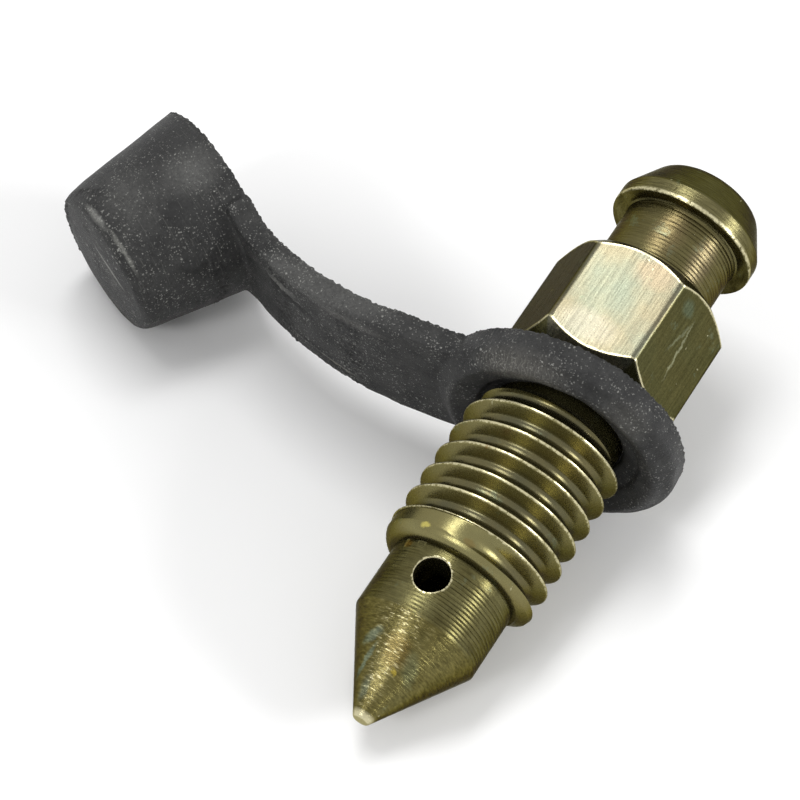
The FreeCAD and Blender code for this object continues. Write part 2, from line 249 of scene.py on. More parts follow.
# the first groove isn't rolled before it has passed the cross hole, which leaves a plain band there
def fillStart(co):
    s = screw
    turn = math.atan2(co.y, co.x) / math.tau
    groove = math.floor((co.z - s["threadStart"]) / s["pitch"] - 0.5 - turn + 0.0001)
    if groove == 0:
        share = fade(turn, s["grooveStart"], s["grooveStart"] + s["grooveFade"])
        radius = math.hypot(co.x, co.y)
        wanted = s["bandRadius"] + (radius - s["bandRadius"]) * share
        co.x *= wanted / radius
        co.y *= wanted / radius


def makeThread():
    s = screw
    half = s["pitch"] / 2
    right = [(s["crestRadius"] - drop, offset) for drop, offset in s["crestEdge"]]
    for number in range(s["rootSteps"] + 1):
        slant = math.radians(s["flankSlant"]) * (1 - number / s["rootSteps"])
        right.append((s["rootRadius"] + s["rootRound"] * (1 - math.cos(slant)),
                      half - s["rootRound"] * math.sin(slant)))
    left = [(radius, -offset) for radius, offset in reversed(right)]
    start = s["threadStart"] - s["pitch"] * 1.5
    thread = drawProfile("thread", [(radius, start + offset) for radius, offset in left[:-1] + right])
    bpy.ops.object.mode_set(mode="OBJECT")
    applyModifier(thread, "SCREW", axis="Z", angle=math.tau, screw_offset=s["pitch"], iterations=s["turns"],
                  steps=s["around"], render_steps=s["around"], use_merge_vertices=True,
                  merge_threshold=0.0005)
    bpy.ops.object.mode_set(mode="EDIT")
    closeSkin()
    for vertex in thread.data.vertices:
        fillStart(vertex.co)
    bpy.ops.object.mode_set(mode="EDIT")
    for station, below in ((s["shankTop"] - 0.3, True), (s["threadTop"] + 0.3, False)):
        bpy.ops.mesh.select_all(action="SELECT")
        bpy.ops.mesh.bisect(plane_co=(0, 0, station), plane_no=(0, 0, 1), use_fill=True,
                            clear_inner=below, clear_outer=not below)
    bpy.ops.mesh.select_all(action="SELECT")
    bpy.ops.mesh.normals_make_consistent(inside=False)
    bpy.ops.object.mode_set(mode="OBJECT")
    full = s["crestRadius"]
    low = s["shankTop"]
    high = s["threadTop"]
    rising = [(full - drop, low + rise) for drop, rise in s["leadIn"]]
    blank = turnProfile("threadBlank", [
        (0, low - 0.2), (s["shankRadius"] - 0.05, low - 0.2), (s["shankRadius"] - 0.04, low),
        (s["shankRadius"] + 0.1, low + 0.01), *rising, (full + 0.02, high - 0.55),
        (full - 0.08, high - s["runOut"]), (s["reliefRadius"] + 0.05, high - 0.02),
        (s["reliefRadius"] - 0.05, high), (s["reliefRadius"] - 0.06, high + 0.1),
        (0, high + 0.1)], s["around"])
    combine(thread, blank, "INTERSECT")
    return thread


def makeHexagon():
    s = screw
    deselectAll()
    middle = (s["hexBottom"] + s["hexTop"]) / 2
    bpy.ops.mesh.primitive_cylinder_add(vertices=6, radius=s["acrossFlats"] / math.sqrt(3),
                                        depth=s["hexTop"] - s["hexBottom"], location=(0, 0, 0))
    hexagon = bpy.context.object
    hexagon.name = "hexagon"
    corner = hexagon.data.vertices[0].co
    turn = 30 + s["hexTurn"] - math.degrees(math.atan2(corner.y, corner.x))
    hexagon.data.transform(Matrix.Translation((0, 0, middle)) @ turned(turn, "Z"))
    applyModifier(hexagon, "BEVEL", width=s["cornerRound"], segments=6, limit_method="ANGLE",
                  angle_limit=math.radians(50))
    blank = turnProfile("hexBlank", [
        (0, s["hexBottom"] + 0.01), (s["hexBevelRadius"], s["hexBottom"] + 0.01),
        (s["hexBevelRadius"] + middle - s["hexBottom"], middle),
        (s["hexBevelRadius"], s["hexTop"] - 0.01), (0, s["hexTop"] - 0.01)], s["around"])
    combine(hexagon, blank, "INTERSECT")
    return hexagon


# the drill that makes the cross hole, with the flare of its rim
def makeDrill():
    s = screw
    hole = s["crossRadius"]
    skin = s["shankRadius"]
    drill = turnProfile("drill", [
        (0, s["crossStart"]), (hole, s["crossStart"]), (hole, skin - 0.07),
        (hole + s["crossFlare"], skin + 0.04), (hole + 0.3, skin + 0.5), (0, skin + 0.5)], 56)
    drill.data.transform(Matrix.Translation((0, 0, s["crossStation"])) @ turned(90, "Y"))
    return drill


core = makeCore()
combine(core, makeThread(), "UNION")
report("core turned and thread rolled, %d faces" % len(core.data.polygons))
combine(core, makeHexagon(), "UNION")
combine(core, makeDrill(), "DIFFERENCE")
report("hexagon milled, cross hole drilled, %d faces" % len(core.data.polygons))


# the cap, moulded in one piece: ring, strap and cup in the ring's own millimetres

capSizes = {"ringRadius": 5.95, "ringThickness": 1.5, "ringBevel": 0.3, "lipRadius": 3.22, "lipLength": 1.0,
            "funnelRadius": 4.04, "funnelEnd": 1.3, "funnelShift": 0.16, "ridgeRadius": 5.08, "rimRise": 0.38,
            "strapThickness": 1.25, "strapWidth": 6.2, "strapShift": 0.15, "strapEndWidth": 5.2,
            "strapStart": 4.6, "straightEnd": 8.25, "arcLength": 8.74, "bend": 28.7, "bendSteps": 14,
            "padLength": 1.4, "padWidth": 6.7, "padShift": 0.25, "mouthRadius": 4.73, "endRadius": 3.82,
            "cupLength": 6.8, "dome": 0.26, "wall": 1.0, "endWall": 1.1, "endRound": 0.6,
            "waveSize": 1.6, "waveHeight": 0.07, "flashSize": 0.16, "flashHeight": 0.22,
            "flashStart": 6.2, "flashEnd": 17.5, "flashEdge": 2.35, "grain": 0.104, "around": 128}


def makeRing():
    c = capSizes
    outer = c["ringRadius"]
    bevel = c["ringBevel"]
    low = -c["ringThickness"]
    rim = low - c["rimRise"]
    funnel = c["funnelRadius"]
    ring = turnProfile("ring", [
        (c["lipRadius"], 0), (outer - 0.05, 0), (outer, -0.06), (outer, low + bevel),
        (outer - bevel * 0.35, low + bevel * 0.3), (outer - bevel, low), (c["ridgeRadius"] + 0.2, rim + 0.05),
        (c["ridgeRadius"], rim), (c["ridgeRadius"] - 0.15, rim + 0.05), (funnel + 0.1, low + 0.02),
        (funnel, low + 0.1), (funnel, -c["funnelEnd"]),
        (c["lipRadius"], -c["lipLength"]), (c["lipRadius"], 0)], c["around"])
    # the pull of the strap draws the funnel off centre
    for vertex in ring.data.vertices:
        if math.hypot(vertex.co.x, vertex.co.y) < funnel + 0.2 and vertex.co.z < 0.1 - c["funnelEnd"]:
            vertex.co.x -= c["funnelShift"]
    return ring


def makeStrap():
    c = capSizes
    length = c["straightEnd"] - c["strapStart"]
    deselectAll()
    middle = (c["strapStart"] + length / 2, c["strapShift"], -c["strapThickness"] / 2)
    bpy.ops.mesh.primitive_cube_add(size=1, location=middle,
                                    scale=(length, c["strapWidth"], c["strapThickness"]))
    strap = bpy.context.object
    strap.name = "strap"
    bpy.ops.object.transform_apply(location=True, rotation=True, scale=True)
    bpy.ops.object.mode_set(mode="EDIT")
    bpy.ops.mesh.select_mode(type="FACE")
    bpy.ops.mesh.select_all(action="DESELECT")
    bpy.ops.object.mode_set(mode="OBJECT")
    for face in strap.data.polygons:
        face.select = face.normal.x > 0.9
    bpy.ops.object.mode_set(mode="EDIT")
    turnStep = math.radians(c["bend"]) / c["bendSteps"]
    advance = c["arcLength"] / c["bendSteps"]
    narrow = (c["strapEndWidth"] / c["strapWidth"]) ** (1 / c["bendSteps"])
    place = Vector((c["straightEnd"], 0, 0))
    for number in range(c["bendSteps"]):
        heading = turnStep * (number + 0.5)
        move = Vector((math.cos(heading), 0, math.sin(heading))) * advance
        bpy.ops.mesh.extrude_region_move(TRANSFORM_OT_translate={"value": move})
        place = place + move
        bpy.ops.transform.rotate(value=turnStep, orient_axis="Y", center_override=place)
        bpy.ops.transform.resize(value=(1, narrow, 1), center_override=place)
    # the root spreads into a pad on the cup's wall
    bend = math.radians(c["bend"])
    spread = (c["padWidth"] / c["strapEndWidth"]) ** 0.5
    for number in range(2):
        move = Vector((math.cos(bend), 0, math.sin(bend))) * c["padLength"] / 2
        bpy.ops.mesh.extrude_region_move(TRANSFORM_OT_translate={"value": move})
        bpy.ops.transform.resize(value=(1, spread, 1), center_override=place)
        bpy.ops.transform.translate(value=(0, c["padShift"] / 2, 0))
    closeSkin()
    return strap


def cupFrame():
    c = capSizes
    bend = math.radians(c["bend"])
    radius = c["arcLength"] / bend
    endX = c["straightEnd"] + radius * math.sin(bend)
    endZ = radius * (1 - math.cos(bend))
    middle = Vector((endX + c["mouthRadius"] * math.cos(bend), 0,
                     endZ + c["mouthRadius"] * math.sin(bend)))
    return Matrix.Translation(middle) @ turned(-c["bend"], "Y")


def makeCup():
    c = capSizes
    low = -c["cupLength"]
    end = c["endRadius"]
    soft = c["endRound"]
    taper = (c["mouthRadius"] - end) / (c["cupLength"] - soft)
    cup = turnProfile("cup", [
        (0, low - c["dome"]), (end * 0.6, low - c["dome"] * 0.45), (end - soft, low + 0.01),
        (end - soft * 0.55, low + soft * 0.1), (end - soft * 0.2, low + soft * 0.4), (end, low + soft),
        (end + 0.04, low + soft + 0.25), (end + taper * 0.75, low + 1.2), (end + taper * 1.4, low + 1.85),
        (c["mouthRadius"] - 0.02, -0.15), (c["mouthRadius"] - 0.08, -0.02), (c["mouthRadius"] - 0.2, 0),
        (0, 0)], c["around"])
    cup.data.transform(cupFrame())
    return cup


def makeCavity():
    c = capSizes
    low = -c["cupLength"] + c["endWall"]
    inner = c["mouthRadius"] - c["wall"]
    cavity = turnProfile("cavity", [
        (0, low), (c["endRadius"] - c["wall"] - 0.3, low), (c["endRadius"] - c["wall"], low + 0.3),
        (inner - 0.03, -0.2), (inner + 0.05, 0), (inner + 0.3, 0.6), (0, 0.6)], c["around"])
    cavity.data.transform(cupFrame())
    return cavity


# nudges the skin in and out with clouds, where near gives more than nothing
def roughen(obj, name, near, size, strength, depth=1):
    group = obj.vertex_groups.new(name=name)
    for vertex in obj.data.vertices:
        amount = near(vertex.co)
        if amount > 0.01:
            group.add([vertex.index], min(amount, 1), "REPLACE")
    clouds = bpy.data.textures.new(name, "CLOUDS")
    clouds.noise_scale = size
    clouds.noise_depth = depth
    applyModifier(obj, "DISPLACE", texture=clouds, texture_coords="LOCAL", strength=strength, mid_level=0.5,
                  vertex_group=name)
    obj.vertex_groups.clear()


mouthPlace = cupFrame().inverted()


def isStrapTop(co):
    c = capSizes
    radius = c["arcLength"] / math.radians(c["bend"])
    if co.x < c["straightEnd"]:
        return abs(co.z) < 0.2
    return abs(math.hypot(co.x - c["straightEnd"], co.z - radius) - radius) < 0.2


# flash from the parting of the mould: on the ring's back edge, the cup's mouth, one edge of the strap
def nearFlash(co):
    c = capSizes
    onRing = math.hypot(co.x, co.y) > c["ringRadius"] - 0.25 and abs(co.z) < 0.22
    mouth = mouthPlace @ co
    onMouth = abs(mouth.z) < 0.2 and math.hypot(mouth.x, mouth.y) > c["mouthRadius"] - 0.3
    onStrap = c["flashStart"] < co.x < c["flashEnd"] and co.y > c["flashEdge"] and isStrapTop(co)
    return 1 if onRing or onMouth or onStrap else 0


# folds and splits of the rubber: from, to, half width, depth (a rise where it is below nothing)
creases = (((15.95, 1.58), (12.75, 0.85), 0.13, 0.13), ((15.7, 1.85), (13.7, 1.75), 0.3, -0.1),
           ((14.6, -1.55), (11.9, -1.95), 0.12, -0.05), ((13.4, -1.85), (10.6, -2.2), 0.1, 0.05))


def pressCrease(cap, crease):
    (startX, startY), (endX, endY), reach, depth = crease
    start = Vector((startX, startY, 0))
    along = Vector((endX, endY, 0)) - start
    for vertex in cap.data.vertices:
        flat = Vector((vertex.co.x, vertex.co.y, 0))
        share = (flat - start).dot(along) / along.length_squared
        if 0 < share < 1 and vertex.normal.z < -0.3:
            away = (flat - start - along * share).length / reach
            if away < 2:
                pressed = depth * math.exp(-away * away) * math.sin(math.pi * share) ** 0.5
                vertex.co -= vertex.normal * pressed


def makeCap():
    c = capSizes
    cap = makeRing()
    combine(cap, makeStrap(), "UNION")
    combine(cap, makeCup(), "UNION")
    combine(cap, makeCavity(), "DIFFERENCE")
    applyModifier(cap, "REMESH", mode="VOXEL", voxel_size=c["grain"], use_smooth_shade=True)
    applyModifier(cap, "SMOOTH", factor=0.5, iterations=5)
    roughen(cap, "softWaves", lambda co: 1, c["waveSize"], c["waveHeight"])
    roughen(cap, "flash", nearFlash, c["flashSize"], c["flashHeight"], 2)
    for crease in creases:
        pressCrease(cap, crease)
    return cap


cap = makeCap()
report("cap moulded, %d faces" % len(cap.data.polygons))


# helpers for materials

def fromHex(text):
    parts = [int(text[i:i + 2], 16) / 255 for i in (0, 2, 4)]
    return tuple(c / 12.92 if c <= 0.04045 else ((c + 0.055) / 1.055) ** 2.4 for c in parts) + (1,)


# one node with its settings and what feeds it
def addNode(tree, kind, settings=None, links=None):
    node = tree.nodes.new("ShaderNode" + kind)
    for key, value in (settings or {}).items():
        if isinstance(key, str) and hasattr(node, key):
            setattr(node, key, value)
        else:
            node.inputs[key].default_value = fromHex(value) if isinstance(value, str) else value
    for key, source in (links or {}).items():
        tree.links.new(source, node.inputs[key])
    return node


def newMaterial(name):
    material = bpy.data.materials.new(name)
    material.use_nodes = True
    tree = material.node_tree
    return material, tree, tree.nodes["Principled BSDF"]


# the pattern's coordinates: the piece's own millimetres
def ownMillimetres(tree, place):
    where = addNode(tree, "TexCoord")
    return addNode(tree, "Mapping", {"vector_type": "TEXTURE", "Location": place.to_translation(),
                                     "Rotation": place.to_euler(), "Scale": (millimetre,) * 3},
                   {"Vector": where.outputs["Object"]}).outputs[0]


# soft spots laid over a colour. Each has its middle and radii in the vector's units, its turn in degrees,
# its colour, its strength and the share of the way to its middle over which it comes up
def layPatches(tree, vector, colour, patches):
    for middle, radii, turn, tint, strength, soft in patches:
        near = addNode(tree, "Mapping", {"vector_type": "TEXTURE", "Location": middle, "Scale": radii,
                                         "Rotation": (0, 0, math.radians(turn))}, {"Vector": vector})
        ball = addNode(tree, "TexGradient", {"gradient_type": "SPHERICAL"}, {"Vector": near.outputs[0]})
        share = addNode(tree, "MapRange", {"From Max": soft, "To Max": strength},
                        {"Value": ball.outputs["Fac"]})
        colour = addNode(tree, "Mix", {"data_type": "RGBA", 7: tint},
                         {0: share.outputs[0], 6: colour}).outputs[2]
    return colour


# chromate-plated steel: free-cutting steel turned on a lathe, zinc plated and passivated olive-yellow.
# It gives the eye a dull brass green, bright where edges have rubbed, with stains where the bath pooled.

# stains, with some painted highlights and painted shade among them: middle, radii, turn, colour, strength,
# soft share. The first number of a middle is the arc round the screw from the cross hole, the second the
# station from the tip
stainsAndPaintedLight = (
    ((-1.15, 3.1, 0), (0.7, 0.3, 1), 40, "6C7766", 0.6, 0.5),
    ((-0.95, 2.1, 0), (0.17, 0.95, 1), -16, "6A7767", 0.6, 0.5),
    ((-0.35, 1.1, 0), (0.3, 0.6, 1), 0, "667061", 0.45, 0.5),
    ((1.2, 2.6, 0), (0.5, 0.8, 1), 20, "5E6247", 0.5, 0.5),
    # painted highlight: a paler patch on the cone's upper side, where the lamp's highlight falls
    ((0.1, 2.5, 0), (0.5, 2.2, 1), 0, "8E8456", 0.6, 0.5),
    ((0.55, 2.15, 0), (0.16, 0.14, 1), 0, "A8963F", 0.8, 0.5),
    ((0.3, 2.9, 0), (0.8, 0.9, 1), 0, "68532A", 0.35, 0.5),
    ((-2.09, 7.5, 0), (0.3, 0.26, 1), 0, "6B5526", 0.75, 0.5),
    ((-2.09, 7.5, 0), (0.14, 0.12, 1), 0, "86703A", 0.5, 0.5),
    ((-1.37, 8.2, 0), (0.34, 0.13, 1), 0, "C9BC66", 0.8, 0.5),
    ((0.8, 8.35, 0), (0.4, 0.25, 1), 0, "7A6234", 0.4, 0.5),
    ((-1.0, 12.9, 0), (0.4, 0.2, 1), 0, "7D5220", 0.6, 0.5),
    ((4.2, 22.2, 0), (0.09, 1.9, 1), 6, "8A8B70", 0.7, 0.5),
    ((3.8, 22.6, 0), (0.1, 1.2, 1), -12, "74775F", 0.6, 0.5),
    ((3.4, 23.9, 0), (0.4, 0.5, 1), 0, "5D6A58", 0.5, 0.5),
    # painted shade: the hexagon's left face darkened, as it turns away from the lamps
    ((-4.1, 22.0, 0), (2.3, 5.0, 1), 0, "4E4A2A", 0.9, 0.2),
    ((-0.4, 22.5, 0), (1.6, 2.0, 1), 0, "646D60", 0.4, 0.5),
    ((1.2, 24.2, 0), (1.3, 1.0, 1), 0, "7C6C58", 0.45, 0.5),
    ((-0.2, 20.3, 0), (1.8, 1.0, 1), 0, "7C786A", 0.6, 0.5),
    # painted highlights: rosy pale bands on the neck at the two angles where the lamps reflect
    ((0.2, 26.9, 0), (1.0, 1.8, 1), 0, "6E6145", 0.6, 0.5),
    ((2.3, 26.7, 0), (0.8, 1.8, 1), 0, "736752", 0.5, 0.5),
    ((-0.46, 28.8, 0), (0.05, 0.22, 1), -20, "2E2A16", 0.9, 0.5),
)

# patterns of the plating: repeats to the millimetre across and along the screw, detail and roughness.
# Clouds are 2 mm wide and grit an eighth; marks of the lathe are a thirteenth wide and long round the
# screw, those of the mill a seventh wide and long the other way
platePatterns = {"clouds": ((0.5, 0.5, 0.5), 6, 0.62), "grit": ((8, 8, 8), 4, 0.72),
                 "streaks": ((0.9, 0.9, 13), 4, 0.68), "scratches": ((2.6, 2.6, 13), 4, 0.7),
                 "scores": ((7, 7, 0.4), 3, 0.7), "bloom": ((0.5, 0.5, 0.5), 3, 0.5),
                 "rag": ((2.5, 2.5, 2.5), 5, 0.75), "patches": ((0.8, 0.8, 0.8), 7, 0.72),
                 "flecks": ((4.5, 4.5, 4.5), 5, 0.75)}

# zones along the screw: the stations where each begins and ends, and how softly
plateZones = {"tipEnd": (-1, 0.26, 0.1), "cone": (0.1, screw["coneTop"], 0.05),
              "shank": (screw["coneTop"], screw["shankTop"], 0.02),
              "thread": (screw["shankTop"], screw["threadTop"] + 0.17, 0.05),
              "hexagon": (screw["hexBottom"] - 0.05, screw["hexTop"] + 0.05, 0.02),
              "neck": (screw["hexTop"] + 0.05, screw["neckTop"], 0.05),
              "bead": (screw["neckTop"], screw["beadTop"] - 0.05, 0.04),
              "head": (screw["beadTop"] - 0.05, screw["noseTop"] + 1, 0.04),
              "rim": (screw["neckTop"] - 0.05, screw["neckTop"] + 0.21, 0.05)}


# where a point of the screw's skin lies, in the screw's own millimetres and radians
def screwPlaces(tree):
    own = ownMillimetres(tree, screwPlace)
    parts = addNode(tree, "SeparateXYZ", None, {"Vector": own}).outputs
    flat = addNode(tree, "VectorMath", {"operation": "MULTIPLY", 1: (1, 1, 0)}, {0: own})
    radius = addNode(tree, "VectorMath", {"operation": "LENGTH"}, {0: flat.outputs[0]}).outputs["Value"]
    angle = addNode(tree, "Math", {"operation": "ARCTAN2"}, {0: parts["Y"], 1: parts["X"]}).outputs[0]
    fromTop = addNode(tree, "Math", {"operation": "ADD", 1: -math.radians(screw["hexTurn"])}, {0: angle})
    arc = addNode(tree, "Math", {"operation": "MULTIPLY"}, {0: angle, 1: radius})
    unrolled = addNode(tree, "CombineXYZ", None, {"X": arc.outputs[0], "Y": parts["Z"]})
    return {"own": own, "upward": parts["X"], "along": parts["Z"], "radius": radius, "angle": angle,
            "fromTop": fromTop.outputs[0], "unrolled": unrolled.outputs[0]}


# the film of the bath, zone by zone, with painted shade in the thread's roots and on the hexagon's side faces
def plateFilmAndPaintedShade(tree, where, noises, zones):
    cloudShare = addNode(tree, "MapRange", {"From Min": 0.36, "From Max": 0.66},
                         {"Value": noises["clouds"][0]}).outputs[0]
    colour = addNode(tree, "Mix", {"data_type": "RGBA", 6: "524D2F", 7: "686443"}, {0: cloudShare}).outputs[2]
    for zone, tint, amount in (("cone", "5C542B", 0.5), ("neck", "5F583A", 0.6), ("bead", "625D40", 0.7),
                               ("head", "4E4C30", 0.8)):
        share = addNode(tree, "Math", {"operation": "MULTIPLY", 1: amount}, {0: zones[zone]})
        colour = addNode(tree, "Mix", {"data_type": "RGBA", 7: tint},
                         {0: share.outputs[0], 6: colour}).outputs[2]

    # thread: painted shade in the root, darker and greyer there, olive on the flank
    root = screw["rootRadius"]
    height = addNode(tree, "MapRange", {"From Min": root + 0.04, "From Max": root + 0.22},
                     {"Value": where["radius"]})
    flank = addNode(tree, "Mix", {"data_type": "RGBA", 6: "565440", 7: "79744F"}, {0: height.outputs[0]})
    mottled = addNode(tree, "Mix", {"data_type": "RGBA", 7: "746A44"}, {0: cloudShare, 6: flank.outputs[2]})
    half = addNode(tree, "Mix", {"data_type": "RGBA", 0: 0.5}, {6: flank.outputs[2], 7: mottled.outputs[2]})
    colour = addNode(tree, "Mix", {"data_type": "RGBA"},
                     {0: zones["thread"], 6: colour, 7: half.outputs[2]}).outputs[2]

    # hexagon: paler film with a faint green and rose bloom, and painted shade on the side faces, which turn
    # away from the lamps
    bloomShare = addNode(tree, "MapRange", {"From Min": 0.4, "From Max": 0.62}, {"Value": noises["bloom"][0]})
    film = addNode(tree, "Mix", {"data_type": "RGBA", 6: "706A56", 7: "676757"}, {0: bloomShare.outputs[0]})
    aside = addNode(tree, "Math", {"operation": "ABSOLUTE"}, {0: where["fromTop"]})
    sideFaceShade = addNode(tree, "MapRange", {"From Min": 0.52, "From Max": 0.55, "To Max": 0.85},
                         {"Value": aside.outputs[0]})
    film = addNode(tree, "Mix", {"data_type": "RGBA", 7: "474526"},
                   {0: sideFaceShade.outputs[0], 6: film.outputs[2]})
    return addNode(tree, "Mix", {"data_type": "RGBA"},
                   {0: zones["hexagon"], 6: colour, 7: film.outputs[2]}).outputs[2]


# stains with ragged edges, with painted highlights and painted shade among them, greenish patches, and marks
# of lathe and mill that darken and lighten the film
def plateMarks(tree, ragged, noises, zones, colour):
    colour = layPatches(tree, ragged, colour, stainsAndPaintedLight)
    greenish = addNode(tree, "MapRange", {"From Min": 0.6, "From Max": 0.7, "To Max": 0.45},
                       {"Value": noises["patches"][0]})
    colour = addNode(tree, "Mix", {"data_type": "RGBA", 7: "6F7B66"},
                     {0: greenish.outputs[0], 6: colour}).outputs[2]
    for noise, zone, low, high in (("scratches", "cone", 0.6, 1.6), ("streaks", "shank", 0.7, 1.3),
                                   ("streaks", "neck", 0.8, 1.2), ("streaks", "bead", 0.6, 1.4),
                                   ("streaks", "head", 0.8, 1.2), ("scores", "hexagon", 0.8, 1.2),
                                   ("grit", "hexagon", 0.85, 1.15)):
        swing = addNode(tree, "MapRange", {"From Min": 0.34, "From Max": 0.66, "To Min": low, "To Max": high},
                        {"Value": noises[noise][0]})
        colour = addNode(tree, "Mix", {"data_type": "RGBA", "blend_type": "MULTIPLY"},
                         {0: zones[zone], 6: colour, 7: swing.outputs[0]}).outputs[2]
    return colour


# where the film is rubbed off, and painted glints: wornAndGlints lists the masks whose product is one place,
# and the tip is bare
def rubbedPlacesAndGlints(tree, where, noises, zones):
    raised = addNode(tree, "Math", {"operation": "MULTIPLY_ADD", 1: 0.26},
                     {0: noises["flecks"][0], 2: where["radius"]}).outputs[0]
    wornAndGlints = []
    for zone, height, soft in (("thread", screw["crestRadius"], 0.035), ("rim", screw["beadRadius"], 0.04)):
        top = addNode(tree, "MapRange", {"From Min": height + 0.13 - soft, "From Max": height + 0.13},
                      {"Value": raised})
        wornAndGlints.append((zones[zone], top.outputs[0]))

    # corners and edges of the hexagon, where the flats meet its chamfers
    sector = addNode(tree, "Math", {"operation": "WRAP", 1: math.pi / 6, 2: -math.pi / 6},
                     {0: where["fromTop"]})
    cosine = addNode(tree, "Math", {"operation": "COSINE"}, {0: sector.outputs[0]})
    apothem = addNode(tree, "Math", {"operation": "MULTIPLY"}, {0: cosine.outputs[0], 1: where["radius"]})
    flat = screw["acrossFlats"] / 2
    onFlat = addNode(tree, "MapRange", {"From Min": flat - 0.06, "From Max": flat - 0.02},
                     {"Value": apothem.outputs[0]})
    bevel = -screw["hexBevelRadius"]
    for station, way in ((screw["hexBottom"], 1), (screw["hexTop"], -1)):
        fromEnd = addNode(tree, "Math", {"operation": "MULTIPLY_ADD", 1: way, 2: -way * station},
                          {0: where["along"]})
        inward = addNode(tree, "Math", {"operation": "SUBTRACT"}, {0: fromEnd.outputs[0], 1: raised})
        band = addNode(tree, "MapRange", {"From Min": bevel, "From Max": bevel - 0.08},
                       {"Value": inward.outputs[0]})
        wornAndGlints.append((band.outputs[0], onFlat.outputs[0], zones["hexagon"]))

    # the rim of the cross hole, on the outside only, and painted glints from the scratch pattern on the
    # cone's upper side, where the lamps' highlight falls
    offAxis = addNode(tree, "VectorMath", {"operation": "MULTIPLY_ADD", 1: (0, 1, 1),
                                           2: (0, 0, -screw["crossStation"])}, {0: where["own"]})
    fromHole = addNode(tree, "VectorMath", {"operation": "LENGTH"}, {0: offAxis.outputs[0]})
    ragHole = addNode(tree, "Math", {"operation": "MULTIPLY_ADD", 1: 0.42},
                      {0: noises["flecks"][0], 2: fromHole.outputs["Value"]})
    hole = screw["crossRadius"]
    skin = screw["shankRadius"]
    holeRim = addNode(tree, "MapRange", {"From Min": hole + 0.3, "From Max": hole + 0.25},
                      {"Value": ragHole.outputs[0]})
    outside = addNode(tree, "MapRange", {"From Min": skin - 0.21, "From Max": skin - 0.12},
                      {"Value": where["upward"]})
    paintedGlints = addNode(tree, "MapRange", {"From Min": 0.57, "From Max": 0.65},
                     {"Value": noises["scratches"][0]})
    fromUp = addNode(tree, "Math", {"operation": "ABSOLUTE"}, {0: where["angle"]})
    glintFacing = addNode(tree, "MapRange", {"From Min": 0.55, "From Max": 0.15}, {"Value": fromUp.outputs[0]})
    wornAndGlints.append((holeRim.outputs[0], outside.outputs[0]))
    wornAndGlints.append((paintedGlints.outputs[0], glintFacing.outputs[0], zones["cone"]))

    rubbedAndGlints = zones["tipEnd"]
    for masks in wornAndGlints:
        place = masks[0]
        for mask in masks[1:]:
            place = addNode(tree, "Math", {"operation": "MULTIPLY"}, {0: place, 1: mask}).outputs[0]
        rubbedAndGlints = addNode(tree, "Math", {"operation": "MAXIMUM"}, {0: rubbedAndGlints, 1: place}).outputs[0]
    return rubbedAndGlints


